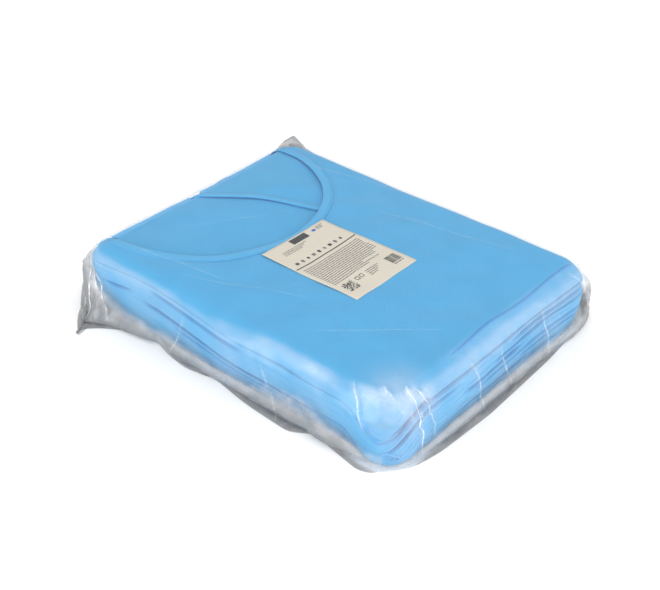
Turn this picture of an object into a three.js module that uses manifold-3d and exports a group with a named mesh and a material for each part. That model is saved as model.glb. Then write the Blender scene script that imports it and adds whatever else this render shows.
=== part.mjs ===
// A clear film bag that holds a flat stack of folded disposable lab coats and a paper label.
// Millimetres, +Z up. The origin is the middle of the bag's outline, on the surface it lies on.
// The coats are long along X. Their folded edges face +X and their necklines face -X.
// The top coat lies with its front panel up, so its neck opening shows the back panels inside.

import * as THREE from "three";
import { mergeVertices } from "three/addons/utils/BufferGeometryUtils.js";
import Module from "manifold-3d";

const wasm = await Module();
wasm.setup();

// ---- Driving dimensions ----

const CLEARANCE = 0.3; // between pieces that lie on each other

// The stack of folded coats
const COAT_COUNT = 10;
const COAT_LENGTH = 330;
const COAT_WIDTH = 254;
const COAT_CORNER = 24; // plan radius of a folded coat's corners
const SHOULDER_RADIUS = 16; // how far the stack's top edge rolls over

// A coat below the top one: the body is folded once round its two sleeves
const BODY_PLY = 1.5; // half of the folded body, above or below the sleeves
const SLEEVE_THICKNESS = 1.8;
const FOLD_DEPTH = 5; // from the sleeves' ends to the outside of the fold
const SLEEVE_MARGIN = 14; // from the coat's long edges to the sleeves
const CUFF_TAPER = 18; // how much narrower a sleeve is at its cuff end
const TIE_WIDTH = 10;
const TIE_GAP = 6; // beside the tie, between the two sleeves
const TIE_THICKNESS = 1.2;
const TIE_SHORTER = 40; // how much shorter a folded tie is than the sleeves

// The top coat
const FRONT_PLY = 1.2;
const BACK_PLY = 0.9;
const EDGE_BINDING_PLY = 0.6;
const NECK_BINDING_PLY = 0.9;
const BINDING_WIDTH = 8;
const NECK_DEPTH = 105;
const NECK_END = 17; // from the coat's short edge to the widest line of the neck opening
const NECK_SIDE = 25; // from the coat's long edge to the neck opening
const CUFF_LENGTH = 46;
const CUFF_CORNER = 3;
const BACK_EDGE_ANGLE = 0.46; // radians from X, the slant of the upper back panel's edge
const BACK_EDGE_OFFSET = 68; // of that edge from the stack's middle
const BACK_OVERLAP = 60; // how far the back panels lap over each other
const NECK_TIE_MARGIN = 6; // from a folded neck tie's ends to the middle line and the corner
const NECK_TIE_INSET = 1; // from the neck ties to the rolled edge of the stack

// The label
const LABEL_LENGTH = 100;
const LABEL_WIDTH = 75;
const LABEL_THICKNESS = 0.2;
const LABEL_LAP = 5; // how far the label lies over the neck binding
const LABEL_Y = -5;

// The bag
const FILM_WALL = 0.6;
const SKIRT = 12; // how far the film spreads past the stack on the floor
const SIDE_SLACK = 3; // how far the film stands off the stack's sides
const EAR_LENGTH = 36; // how far the bag's corners reach out past the skirt, along Y
const FOOT_HEIGHT = 6; // where the film starts to turn out onto the floor

// ---- Faceting ----

const CURVE_STEPS = 3; // on the curves of the cloth pieces, half as many as their facets
const TRIM_STEPS = 1; // on the corners of ties and cuffs
const NECK_STEPS = 12; // round the neck opening
const BAG_CORNER_STEPS = 5;
const BAG_SIDE_STEPS = 8;
const SHOULDER_STEPS = 4;

// ---- Heights, from the floor up ----

const COAT_THICKNESS = 2 * BODY_PLY + SLEEVE_THICKNESS + 2 * CLEARANCE;
const COAT_PITCH = COAT_THICKNESS + CLEARANCE;
const STACK_BOTTOM = FILM_WALL + CLEARANCE;
const TOP_COAT_BOTTOM = STACK_BOTTOM + (COAT_COUNT - 1) * COAT_PITCH;
const LOWER_BACK_Z = TOP_COAT_BOTTOM + SLEEVE_THICKNESS + CLEARANCE;
const UPPER_BACK_Z = LOWER_BACK_Z + BACK_PLY + CLEARANCE;
const EDGE_BINDING_Z = UPPER_BACK_Z + BACK_PLY + CLEARANCE;
const FRONT_Z = EDGE_BINDING_Z + EDGE_BINDING_PLY + CLEARANCE;
const NECK_BINDING_Z = FRONT_Z + FRONT_PLY + CLEARANCE;
const STACK_TOP = NECK_BINDING_Z + NECK_BINDING_PLY;
const LABEL_Z = STACK_TOP + CLEARANCE;
const FILM_GAP = LABEL_THICKNESS + 2 * CLEARANCE; // between the stack and the film above it

const SLEEVE_LENGTH = COAT_LENGTH - 2 * (FOLD_DEPTH + SLEEVE_MARGIN);
const SLEEVE_WIDTH = (COAT_WIDTH - TIE_WIDTH) / 2 - TIE_GAP - SLEEVE_MARGIN;
const SLEEVE_Y = (TIE_WIDTH + SLEEVE_WIDTH) / 2 + TIE_GAP;

// ---- Materials ----

function clothMaterial() {
  return new THREE.MeshStandardMaterial({ color: 0x62add9, roughness: 0.8, metalness: 0 });
}

function bindingMaterial() {
  return new THREE.MeshStandardMaterial({ color: 0x7dbbe6, roughness: 0.75, metalness: 0 });
}

function filmMaterial() {
  return new THREE.MeshStandardMaterial({
    color: 0xdde2e6, roughness: 0.2, metalness: 0, transparent: true, opacity: 0.3,
  });
}

function paperMaterial() {
  return new THREE.MeshStandardMaterial({ color: 0xd9d2bf, roughness: 0.7, metalness: 0 });
}

// ---- Solids ----

function toSolid(geometry) {
  const bare = geometry.clone();
  bare.deleteAttribute("normal");
  bare.deleteAttribute("uv");
  const merged = mergeVertices(bare);
  return new wasm.Manifold(new wasm.Mesh({
    numProp: 3,
    vertProperties: new Float32Array(merged.attributes.position.array),
    triVerts: new Uint32Array(merged.index.array),
  }));
}

function toGeometry(solid) {
  const { vertProperties, triVerts } = solid.getMesh();
  const geometry = new THREE.BufferGeometry();
  geometry.setAttribute("position", new THREE.BufferAttribute(vertProperties, 3));
  geometry.setIndex(new THREE.BufferAttribute(triVerts, 1));
  return geometry;
}

function roundedOutline(length, width, corner) {
  const x = length / 2 - corner;
  const y = width / 2 - corner;
  const outline = new THREE.Shape();
  outline.absarc(x, y, corner, 0, Math.PI / 2);
  outline.absarc(-x, y, corner, Math.PI / 2, Math.PI);
  outline.absarc(-x, -y, corner, Math.PI, Math.PI * 1.5);
  outline.absarc(x, -y, corner, Math.PI * 1.5, Math.PI * 2);
  return outline;
}

function slab(outline, thickness, curveSegments = CURVE_STEPS) {
  return new THREE.ExtrudeGeometry(outline, {
    depth: thickness, bevelEnabled: false, curveSegments,
  });
}

// How far the rolled shoulder pulls the stack's edge in at height z.
function shoulderInset(z) {
  const rise = Math.max(0, z - (STACK_TOP - SHOULDER_RADIUS));
  return SHOULDER_RADIUS - Math.sqrt(Math.max(0, SHOULDER_RADIUS ** 2 - rise ** 2));
}

// A ply that fills the stack's plan, from height z up to its thickness, inside the shoulder.
function planPly(z, thickness) {
  const inset = shoulderInset(z + thickness);
  const corner = Math.max(1, COAT_CORNER - inset);
  const outline = roundedOutline(COAT_LENGTH - 2 * inset, COAT_WIDTH - 2 * inset, corner);
  return slab(outline, thickness).translate(0, 0, z);
}

// ---- The group ----

const pack = new THREE.Group();

function addPiece(name, geometry, material) {
  const mesh = new THREE.Mesh(geometry, material);
  mesh.name = name;
  pack.add(mesh);
}

// ---- A folded coat below the top one ----

// The body's section along X: two plies joined by a round fold at +X, open at -X.
function foldedSection(inset) {
  const back = -COAT_LENGTH / 2;
  const outer = COAT_THICKNESS / 2;
  const inner = outer - BODY_PLY;
  const foldX = COAT_LENGTH / 2 - inset - outer;
  const section = new THREE.Shape();
  section.moveTo(back, -outer);
  section.absarc(foldX, 0, outer, -Math.PI / 2, Math.PI / 2);
  section.lineTo(back, outer);
  section.lineTo(back, inner);
  section.absarc(foldX, 0, inner, Math.PI / 2, -Math.PI / 2, true);
  section.lineTo(back, -inner);
  section.closePath();
  return section;
}

function coatBody(z) {
  const folded = slab(foldedSection(shoulderInset(z + COAT_THICKNESS)), COAT_WIDTH);
  folded.rotateX(Math.PI / 2);
  folded.translate(0, COAT_WIDTH / 2, z + COAT_THICKNESS / 2);
  const plan = planPly(z, COAT_THICKNESS);
  return toGeometry(toSolid(folded).intersect(toSolid(plan)));
}

// A flattened sleeve, wide at the shoulder end (-X) and narrower at the cuff end (+X).
function sleeve(side, z, length, x) {
  const wide = SLEEVE_WIDTH / 2;
  const outline = new THREE.Shape();
  outline.moveTo(-length / 2, -wide);
  outline.lineTo(length / 2, -wide);
  outline.lineTo(length / 2, wide - CUFF_TAPER);
  outline.lineTo(-length / 2, wide);
  outline.closePath();
  const geometry = slab(outline, SLEEVE_THICKNESS);
  if (side < 0) {
    geometry.rotateX(Math.PI);
    geometry.translate(0, 0, SLEEVE_THICKNESS);
  }
  return geometry.translate(x, side * SLEEVE_Y, z);
}

function foldedTie(z, length) {
  const outline = roundedOutline(length, TIE_WIDTH, TIE_WIDTH / 3);
  return slab(outline, TIE_THICKNESS, TRIM_STEPS).translate(0, 0, z);
}

function addLowerCoat(number, z) {
  const name = `coat_${String(number).padStart(2, "0")}`;
  const insideZ = z + BODY_PLY + CLEARANCE;
  const sleeveX = -FOLD_DEPTH / 2;
  addPiece(`${name}_body`, coatBody(z), clothMaterial());
  addPiece(`${name}_left_sleeve`, sleeve(1, insideZ, SLEEVE_LENGTH, sleeveX), clothMaterial());
  addPiece(`${name}_right_sleeve`, sleeve(-1, insideZ, SLEEVE_LENGTH, sleeveX), clothMaterial());
  addPiece(`${name}_waist_tie`, foldedTie(insideZ, SLEEVE_LENGTH - TIE_SHORTER), bindingMaterial());
}

// ---- The top coat ----

const NECK_X = -COAT_LENGTH / 2 + NECK_END;
const NECK_HALF_WIDTH = COAT_WIDTH / 2 - NECK_SIDE;

// The neck opening grown by an amount, as a tall cutter that runs out past the coat's end.
function neckCutter(grown) {
  const depth = NECK_DEPTH + grown;
  const half = NECK_HALF_WIDTH + grown;
  const outline = new THREE.Shape();
  outline.moveTo(NECK_X - COAT_LENGTH, -half);
  outline.lineTo(NECK_X, -half);
  outline.absellipse(NECK_X, 0, depth, half, -Math.PI / 2, Math.PI / 2);
  outline.lineTo(NECK_X - COAT_LENGTH, half);
  outline.closePath();
  return toSolid(slab(outline, 2 * STACK_TOP, NECK_STEPS));
}

function frontPanel() {
  const panel = toSolid(planPly(FRONT_Z, FRONT_PLY));
  return toGeometry(panel.subtract(neckCutter(0)));
}

// The binding is a band round the neck opening's curve, inside the stack's plan.
function neckBinding() {
  const band = toSolid(planPly(NECK_BINDING_Z, NECK_BINDING_PLY));
  const ring = band.intersect(neckCutter(BINDING_WIDTH)).subtract(neckCutter(0));
  return toGeometry(ring);
}

// A strip turned to the slant of the upper back panel's edge, between two distances from it.
function slantedStrip(from, to) {
  const strip = new THREE.BoxGeometry(3 * COAT_LENGTH, to - from, 2 * STACK_TOP);
  strip.translate(0, (from + to) / 2 + BACK_EDGE_OFFSET, STACK_TOP);
  strip.rotateZ(BACK_EDGE_ANGLE);
  return toSolid(strip);
}

function lowerBackPanel() {
  const ply = toSolid(planPly(LOWER_BACK_Z, BACK_PLY));
  return toGeometry(ply.intersect(slantedStrip(-2 * COAT_LENGTH, BACK_OVERLAP)));
}

function upperBackPanel() {
  const ply = toSolid(planPly(UPPER_BACK_Z, BACK_PLY));
  return toGeometry(ply.intersect(slantedStrip(0, COAT_LENGTH)));
}

function backEdgeBinding() {
  const ply = toSolid(planPly(EDGE_BINDING_Z, EDGE_BINDING_PLY));
  return toGeometry(ply.intersect(slantedStrip(0, BINDING_WIDTH)));
}

// A neck tie lies folded along the coat's short edge, past the sleeves' shoulder ends.
function neckTie(side, z) {
  const length = COAT_WIDTH / 2 - COAT_CORNER - 2 * NECK_TIE_MARGIN;
  const edge = -COAT_LENGTH / 2 + shoulderInset(z + SLEEVE_THICKNESS) + NECK_TIE_INSET;
  const outline = roundedOutline(TIE_WIDTH, length, TIE_WIDTH / 3);
  const y = side * (NECK_TIE_MARGIN + length / 2);
  return slab(outline, TIE_THICKNESS, TRIM_STEPS).translate(edge + TIE_WIDTH / 2, y, z);
}

function addTopCoat() {
  const z = TOP_COAT_BOTTOM;
  const sleeveLength = SLEEVE_LENGTH - CUFF_LENGTH - CLEARANCE;
  const sleeveX = -(CUFF_LENGTH + CLEARANCE) / 2;
  const cuffX = (SLEEVE_LENGTH - CUFF_LENGTH) / 2;
  const cuffWidth = SLEEVE_WIDTH - 2 * CUFF_TAPER;
  addPiece("coat_01_front_panel", frontPanel(), clothMaterial());
  addPiece("coat_01_neck_binding", neckBinding(), bindingMaterial());
  addPiece("coat_01_left_back_panel", upperBackPanel(), clothMaterial());
  addPiece("coat_01_right_back_panel", lowerBackPanel(), clothMaterial());
  addPiece("coat_01_back_edge_binding", backEdgeBinding(), bindingMaterial());
  for (const [word, side] of [["left", 1], ["right", -1]]) {
    const cuffOutline = roundedOutline(CUFF_LENGTH, cuffWidth, CUFF_CORNER);
    const cuff = slab(cuffOutline, SLEEVE_THICKNESS, TRIM_STEPS);
    cuff.translate(cuffX, side * SLEEVE_Y, z);
    addPiece(`coat_01_${word}_sleeve`, sleeve(side, z, sleeveLength, sleeveX), clothMaterial());
    addPiece(`coat_01_${word}_cuff`, cuff, bindingMaterial());
    addPiece(`coat_01_${word}_neck_tie`, neckTie(side, z), bindingMaterial());
  }
  addPiece("coat_01_waist_tie", foldedTie(z, SLEEVE_LENGTH - TIE_SHORTER), bindingMaterial());
}

// ---- The label ----

function label() {
  const sheet = new THREE.BoxGeometry(LABEL_LENGTH, LABEL_WIDTH, LABEL_THICKNESS);
  const nearEdge = NECK_X + NECK_DEPTH + BINDING_WIDTH - LABEL_LAP;
  return sheet.translate(nearEdge + LABEL_LENGTH / 2, LABEL_Y, LABEL_Z + LABEL_THICKNESS / 2);
}

// ---- The bag ----

// Each corner's ear, in the order +X+Y, -X+Y, -X-Y, +X-Y: how far it slants along X, how far it
// reaches along Y, and how high its tip stands as a share of the side's height.
const EARS = [
  { slant: -18, reach: EAR_LENGTH, height: 0 },
  { slant: -12, reach: 14, height: 0.7 },
  { slant: 30, reach: -EAR_LENGTH, height: 0 },
  { slant: -10, reach: -6, height: 0 },
];
const EAR_SPREAD = 75; // along the outline, from a corner's middle to where its ear begins
const EAR_POINT = 1.6; // a higher power makes a sharper ear
const EAR_HOOK = 4; // a higher power keeps the slant nearer to the tip
const EAR_DRAPE = 1.5; // a higher power lets an ear die out sooner up the side

// The plan outline grown by an amount: points with their distance from the nearest corner.
function bagOutline(outset) {
  const corner = COAT_CORNER + outset;
  const halfX = COAT_LENGTH / 2 + outset - corner;
  const halfY = COAT_WIDTH / 2 + outset - corner;
  const signs = [[1, 1], [-1, 1], [-1, -1], [1, -1]];
  const points = [];
  for (let c = 0; c < 4; c += 1) {
    const arcLength = corner * Math.PI / 2;
    for (let step = 0; step <= BAG_CORNER_STEPS; step += 1) {
      const angle = (c + step / BAG_CORNER_STEPS) * Math.PI / 2;
      const x = signs[c][0] * halfX + corner * Math.cos(angle);
      const y = signs[c][1] * halfY + corner * Math.sin(angle);
      points.push({ x, y, ear: c, along: Math.abs(step / BAG_CORNER_STEPS - 0.5) * arcLength });
    }
    const next = (c + 1) % 4;
    const start = points[points.length - 1];
    const angle = (c + 1) * Math.PI / 2;
    const endX = signs[next][0] * halfX + corner * Math.cos(angle);
    const endY = signs[next][1] * halfY + corner * Math.sin(angle);
    const side = Math.hypot(endX - start.x, endY - start.y);
    for (let step = 1; step < BAG_SIDE_STEPS; step += 1) {
      const share = step / BAG_SIDE_STEPS;
      const fromStart = share < 0.5;
      points.push({
        x: THREE.MathUtils.lerp(start.x, endX, share),
        y: THREE.MathUtils.lerp(start.y, endY, share),
        ear: fromStart ? c : next,
        along: arcLength / 2 + side * Math.min(share, 1 - share),
      });
    }
  }
  return points;
}

// How strongly an ear pulls the film at a height share, 0 on the floor and 1 at the shoulder.
function earPull(ear, heightShare) {
  const away = Math.abs(heightShare - ear.height) / Math.max(ear.height, 1 - ear.height);
  return (1 - away) ** EAR_DRAPE;
}

function filmRing(outset, z, heightShare) {
  return bagOutline(outset).map(({ x, y, ear, along }) => {
    const near = Math.max(0, 1 - along / EAR_SPREAD);
    const pull = earPull(EARS[ear], heightShare);
    const slant = EARS[ear].slant * pull * near ** EAR_HOOK;
    const reach = EARS[ear].reach * pull * near ** EAR_POINT;
    return new THREE.Vector3(x + slant, y + reach, z);
  });
}

// Rings of the film from the top's rim down to the floor. depth is how far a ring lies inside
// the film's outer face.
function filmRings(depth) {
  const roll = SHOULDER_RADIUS + FILM_GAP + FILM_WALL - depth;
  const rollZ = STACK_TOP - SHOULDER_RADIUS;
  const slack = SIDE_SLACK + FILM_GAP + FILM_WALL - depth;
  const rings = [];
  for (let step = 0; step <= SHOULDER_STEPS; step += 1) {
    const angle = (1 - step / SHOULDER_STEPS) * Math.PI / 2;
    rings.push(filmRing(-SHOULDER_RADIUS + roll * Math.cos(angle), rollZ + roll * Math.sin(angle), 1));
  }
  rings.push(filmRing(slack, rollZ * 0.7, 0.7));
  rings.push(filmRing(slack + 1, rollZ * 0.35, 0.35));
  rings.push(filmRing(slack + 3, FOOT_HEIGHT - depth, 0.1));
  rings.push(filmRing(SKIRT, STACK_BOTTOM + FILM_WALL - depth, 0));
  return rings;
}

// Joins a ring to the next one with two triangles between each pair of points.
function joinRings(index, first, second, count) {
  for (let k = 0; k < count; k += 1) {
    const next = (k + 1) % count;
    index.push(first + k, second + k, second + next);
    index.push(first + k, second + next, first + next);
  }
}

// Closes a ring with triangles to a middle point.
function closeRing(index, ring, middle, count, up) {
  for (let k = 0; k < count; k += 1) {
    const next = (k + 1) % count;
    if (up) {
      index.push(middle, ring + k, ring + next);
    } else {
      index.push(middle, ring + next, ring + k);
    }
  }
}

// A closed solid from rings that run from one middle point to another.
function ringSolid(rings, firstZ, lastZ) {
  const count = rings[0].length;
  const points = [...rings.flat(), new THREE.Vector3(0, 0, firstZ), new THREE.Vector3(0, 0, lastZ)];
  const index = [];
  const firstMiddle = rings.length * count;
  closeRing(index, 0, firstMiddle, count, true);
  for (let r = 0; r + 1 < rings.length; r += 1) {
    joinRings(index, r * count, (r + 1) * count, count);
  }
  closeRing(index, (rings.length - 1) * count, firstMiddle + 1, count, false);
  const geometry = new THREE.BufferGeometry().setFromPoints(points);
  geometry.setIndex(index);
  return geometry;
}

// The upper half of the bag: down the outer face to the floor, then back up the inner face.
function upperFilm() {
  const outer = filmRings(0);
  const inner = filmRings(FILM_WALL).reverse();
  return ringSolid([...outer, ...inner], outer[0][0].z, inner[inner.length - 1][0].z);
}

// The lower half lies flat on the floor, under the stack and the upper film's skirt.
function lowerFilm() {
  return ringSolid([filmRing(SKIRT, FILM_WALL, 0), filmRing(SKIRT, 0, 0)], FILM_WALL, 0);
}

// ---- Assembly ----

addPiece("bag_lower_film", lowerFilm(), filmMaterial());
for (let number = COAT_COUNT; number >= 2; number -= 1) {
  addLowerCoat(number, STACK_BOTTOM + (COAT_COUNT - number) * COAT_PITCH);
}
addTopCoat();
addPiece("paper_label", label(), paperMaterial());
addPiece("bag_upper_film", upperFilm(), filmMaterial());

export default pack;
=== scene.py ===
import math

import bpy
import numpy as np
from mathutils import Matrix, Vector
from mathutils.bvhtree import BVHTree


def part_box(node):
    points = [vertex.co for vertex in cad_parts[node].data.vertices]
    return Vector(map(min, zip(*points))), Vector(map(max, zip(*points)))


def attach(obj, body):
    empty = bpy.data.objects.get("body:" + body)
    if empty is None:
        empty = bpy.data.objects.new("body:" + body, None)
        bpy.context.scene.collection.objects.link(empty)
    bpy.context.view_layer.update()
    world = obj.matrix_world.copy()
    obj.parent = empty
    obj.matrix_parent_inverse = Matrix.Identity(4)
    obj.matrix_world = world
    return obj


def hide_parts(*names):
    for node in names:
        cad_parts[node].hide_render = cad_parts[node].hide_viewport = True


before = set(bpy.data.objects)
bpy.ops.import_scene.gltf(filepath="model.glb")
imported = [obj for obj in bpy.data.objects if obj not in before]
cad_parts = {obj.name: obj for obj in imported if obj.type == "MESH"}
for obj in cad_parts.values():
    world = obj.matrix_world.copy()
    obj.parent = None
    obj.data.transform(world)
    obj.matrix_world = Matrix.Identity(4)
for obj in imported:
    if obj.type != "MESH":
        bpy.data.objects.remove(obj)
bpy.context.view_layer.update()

# A clear film bag that holds a stack of folded lab coats and a paper label.
# Lengths are millimetres until a mesh is made. X runs along the coats, from their necklines to
# their folded ends, Y across them, and Z up from the floor.

MM = 0.001


def cad(node):
    """The lowest and highest corners of a CAD node, in millimetres."""
    low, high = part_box(node)
    return np.array(low) / MM, np.array(high) / MM


# ---- Sizes, given here and read from the CAD parts ----

COAT_COUNT = 10
SHOULDER = 16.0
CORNER = 24.0
NECK_DEPTH = 105.0
NECK_HALF = 102.0
NECK_X = -148.0
BINDING_WIDTH = 8.0
DIAGONAL_ANGLE = 0.46
DIAGONAL_OFFSET = 68.0
HALF_X = cad("coat_06_body")[1][0]
HALF_Y = cad("coat_06_body")[1][1]
STACK_TOP = cad("coat_01_neck_binding")[1][2]
FRONT_Z = (cad("coat_01_front_panel")[0][2] + cad("coat_01_front_panel")[1][2]) / 2
LEFT_BACK_Z = cad("coat_01_left_back_panel")[1][2] - 0.4
RIGHT_BACK_Z = cad("coat_01_right_back_panel")[1][2] - 0.4
LABEL_LOW, LABEL_HIGH = cad("paper_label")
COAT_LEVELS = [(cad(f"coat_{k:02d}_body")[0][2], cad(f"coat_{k:02d}_body")[1][2])
               for k in range(COAT_COUNT, 1, -1)]

# ---- Small tools ----


def smooth(value, low, high):
    """0 below low, 1 above high, and an eased ramp between them."""
    t = np.clip((np.asarray(value, float) - low) / (high - low), 0, 1)
    return t * t * (3 - 2 * t)


def waves(seed, length, count=9):
    """A smooth random field over two coordinates, made of seeded sine waves, about -1 to 1."""
    rng = np.random.default_rng(seed)
    turns = rng.uniform(0, math.pi, count)
    lengths = length * rng.uniform(0.65, 1.6, count)
    phases = rng.uniform(0, 2 * math.pi, count)

    def field(a, b=0.0):
        total = 0.0
        for turn, span, phase in zip(turns, lengths, phases):
            along = a * math.cos(turn) + b * math.sin(turn)
            total = total + np.sin(2 * math.pi * along / span + phase)
        return total * 1.2 / math.sqrt(count)

    return field


def at_height(ring, height):
    """Plan points, all at one height."""
    return np.column_stack([ring, np.full(len(ring), height)])


def strip_faces(rows, size, first=0, closed=False):
    """The faces between rows of points. closed joins the end of each row to its start."""
    faces = []
    for row in range(rows - 1):
        low, high = first + row * size, first + (row + 1) * size
        for i in range(size if closed else size - 1):
            j = (i + 1) % size
            faces.append((low + i, low + j, high + j, high + i))
    return faces


def around(x, y, centre, size):
    """1 at a place, falling away round it as a bell curve."""
    away = (x - centre[0]) ** 2 + (y - centre[1]) ** 2
    return np.exp(-away / (2 * size ** 2))


def new_mesh(name, points, faces):
    mesh = bpy.data.meshes.new(name)
    mesh.from_pydata(np.asarray(points, float).tolist(), [], [list(map(int, f)) for f in faces])
    return mesh


def new_object(name, data):
    made = bpy.data.objects.new(name, data)
    bpy.context.scene.collection.objects.link(made)
    return made


def add_mesh(name, points, faces, material, smooth_shading=True):
    """A mesh from points in millimetres, which rides on the one body."""
    mesh = new_mesh(name, np.asarray(points, float) * MM, faces)
    mesh.validate()
    mesh.materials.append(material)
    mesh.polygons.foreach_set("use_smooth", [smooth_shading] * len(mesh.polygons))
    piece = new_object(name, mesh)
    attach(piece, "root")
    return piece


def set_values(piece, name, values):
    """Stores a number for each point of a piece's mesh, for its material to read."""
    layer = piece.data.attributes.new(name, "FLOAT", "POINT")
    layer.data.foreach_set("value", np.asarray(values, np.float32))


def mesh_points(mesh):
    return np.array([v.co for v in mesh.vertices]) / MM


def thicken(piece, thickness, offset=0.0):
    modifier = piece.modifiers.new("thickness", "SOLIDIFY")
    modifier.thickness = thickness * MM
    modifier.offset = offset
    modifier.use_even_offset = False


def subdivide(piece, levels=1):
    modifier = piece.modifiers.new("fine surface", "SUBSURF")
    modifier.levels = levels
    modifier.render_levels = levels


# ---- The plan outline ----

ARC_STEPS = 12
SIDE_X_STEPS = 66
SIDE_Y_STEPS = 48
ALONG_X = SIDE_X_STEPS + ARC_STEPS
ALONG_Y = SIDE_Y_STEPS + ARC_STEPS
RING_SIZE = 2 * (ALONG_X + ALONG_Y)
CORNER_SIGNS = [(1, 1), (-1, 1), (-1, -1), (1, -1)]
INNER_INSET = 50.0  # from the outline to the grid that fills a sheet's middle
CORNER_INSET = 23.0  # the most that a ring can be inset, with its corners still round


def outline(outset):
    """The rounded plan outline, grown by outset: its points and outward normals."""
    corner = max(CORNER + outset, 0.5)
    half = np.array([HALF_X + outset - corner, HALF_Y + outset - corner])
    points, normals = [], []
    for c in range(4):
        sides = (SIDE_X_STEPS, SIDE_Y_STEPS)[c % 2]
        for step in range(ARC_STEPS + 1):
            angle = (c + step / ARC_STEPS) * math.pi / 2
            normal = np.array([math.cos(angle), math.sin(angle)])
            points.append(half * CORNER_SIGNS[c] + corner * normal)
            normals.append(normal)
        start, end = points[-1], half * CORNER_SIGNS[(c + 1) % 4] + corner * normals[-1]
        for step in range(1, sides):
            points.append(start + (end - start) * step / sides)
            normals.append(normals[-1])
    return np.array(points), np.array(normals)


def inner_rectangle():
    """A ring of as many points on a sharp rectangle, with its corners on the arcs' middles."""
    half = np.array([HALF_X - INNER_INSET, HALF_Y - INNER_INSET])
    points = []
    for c in range(4):
        start, end = half * CORNER_SIGNS[c], half * CORNER_SIGNS[(c + 1) % 4]
        steps = (ALONG_X, ALONG_Y)[c % 2]
        points += [start + (end - start) * step / steps for step in range(steps)]
    return np.roll(np.array(points), ARC_STEPS // 2, axis=0)


def inward_rings(start, shares):
    """Rings part of the way from a ring to the inner rectangle."""
    rectangle = inner_rectangle()
    return [start + (rectangle - start) * share for share in shares]


def grid_index(first, a, b):
    """The ring point at a place on the border of the middle grid."""
    start = first + ARC_STEPS // 2
    if b == 0:
        place = a
    elif a == ALONG_X:
        place = ALONG_X + b
    elif b == ALONG_Y:
        place = ALONG_X + ALONG_Y + (ALONG_X - a)
    else:
        place = 2 * ALONG_X + ALONG_Y + (ALONG_Y - b)
    return first + (start - first + place) % RING_SIZE


def ring_faces(rings):
    """The faces between rings of the outline, from the first ring to the last."""
    return strip_faces(rings, RING_SIZE, closed=True)


def plan_sheet(rings):
    """Plan points and faces of a sheet: rings from the outermost in, then a grid in the middle."""
    points = [p for ring in rings for p in ring]
    faces = ring_faces(len(rings))
    last = (len(rings) - 1) * RING_SIZE
    border = rings[-1]
    corners = [border[grid_index(0, a, b)] for a, b in ((0, 0), (ALONG_X, 0), (ALONG_X, ALONG_Y))]
    index = {}
    for a in range(ALONG_X + 1):
        for b in range(ALONG_Y + 1):
            if a in (0, ALONG_X) or b in (0, ALONG_Y):
                index[a, b] = grid_index(last, a, b)
                continue
            along = (corners[1] - corners[0]) * a / ALONG_X
            across = (corners[2] - corners[1]) * b / ALONG_Y
            index[a, b] = len(points)
            points.append(corners[0] + along + across)
    for a in range(ALONG_X):
        for b in range(ALONG_Y):
            faces.append((index[a, b], index[a + 1, b], index[a + 1, b + 1], index[a, b + 1]))
    return np.array(points), faces


def lofted_sheet(rings):
    """Points and faces of a sheet whose rings have heights, flat inside the last ring."""
    plan, faces = plan_sheet([ring[:, :2] for ring in rings])
    heights = np.full(len(plan), rings[-1][0, 2])
    heights[:len(rings) * RING_SIZE] = np.concatenate([ring[:, 2] for ring in rings])
    return np.column_stack([plan, heights]), faces


def outline_distance(x, y, outset=0.0):
    """How far plan points lie outside the outline grown by outset, and the outward normal there."""
    corner = CORNER + outset
    qx = np.abs(x) - (HALF_X + outset - corner)
    qy = np.abs(y) - (HALF_Y + outset - corner)
    reach = np.hypot(np.maximum(qx, 0), np.maximum(qy, 0))
    distance = reach + np.minimum(np.maximum(qx, qy), 0) - corner
    round_part = (qx > 0) & (qy > 0)
    safe = np.maximum(reach, 1e-9)
    nx = np.where(round_part, qx / safe, (qx > qy) * 1.0) * np.sign(x)
    ny = np.where(round_part, qy / safe, (qx <= qy) * 1.0) * np.sign(y)
    return distance, nx, ny


# ---- How the stack settles: one smooth warp that every piece of it shares ----

TILT = 8.0  # how much the plies of the long front side slope
TILT_SPAN = 170.0  # half a wave of that slope
GATHER_AT = (150.0, -126.0)  # where the plies gather down, at the front corner
GATHER_SIZE = 12.0
GATHER_POWER = 3.0  # how strongly they gather
BELLY = 3.0  # how far the sides bulge at half height
LOWEST = 1.3  # points at or above this height stay at or above it
BASE_PINCH = 5.0  # how far the long front side draws in at the floor

belly_waves = waves(11, 150)
height_waves = waves(12, 110)
top_waves = waves(13, 130)
dimple_waves = waves(14, 38)


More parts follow.
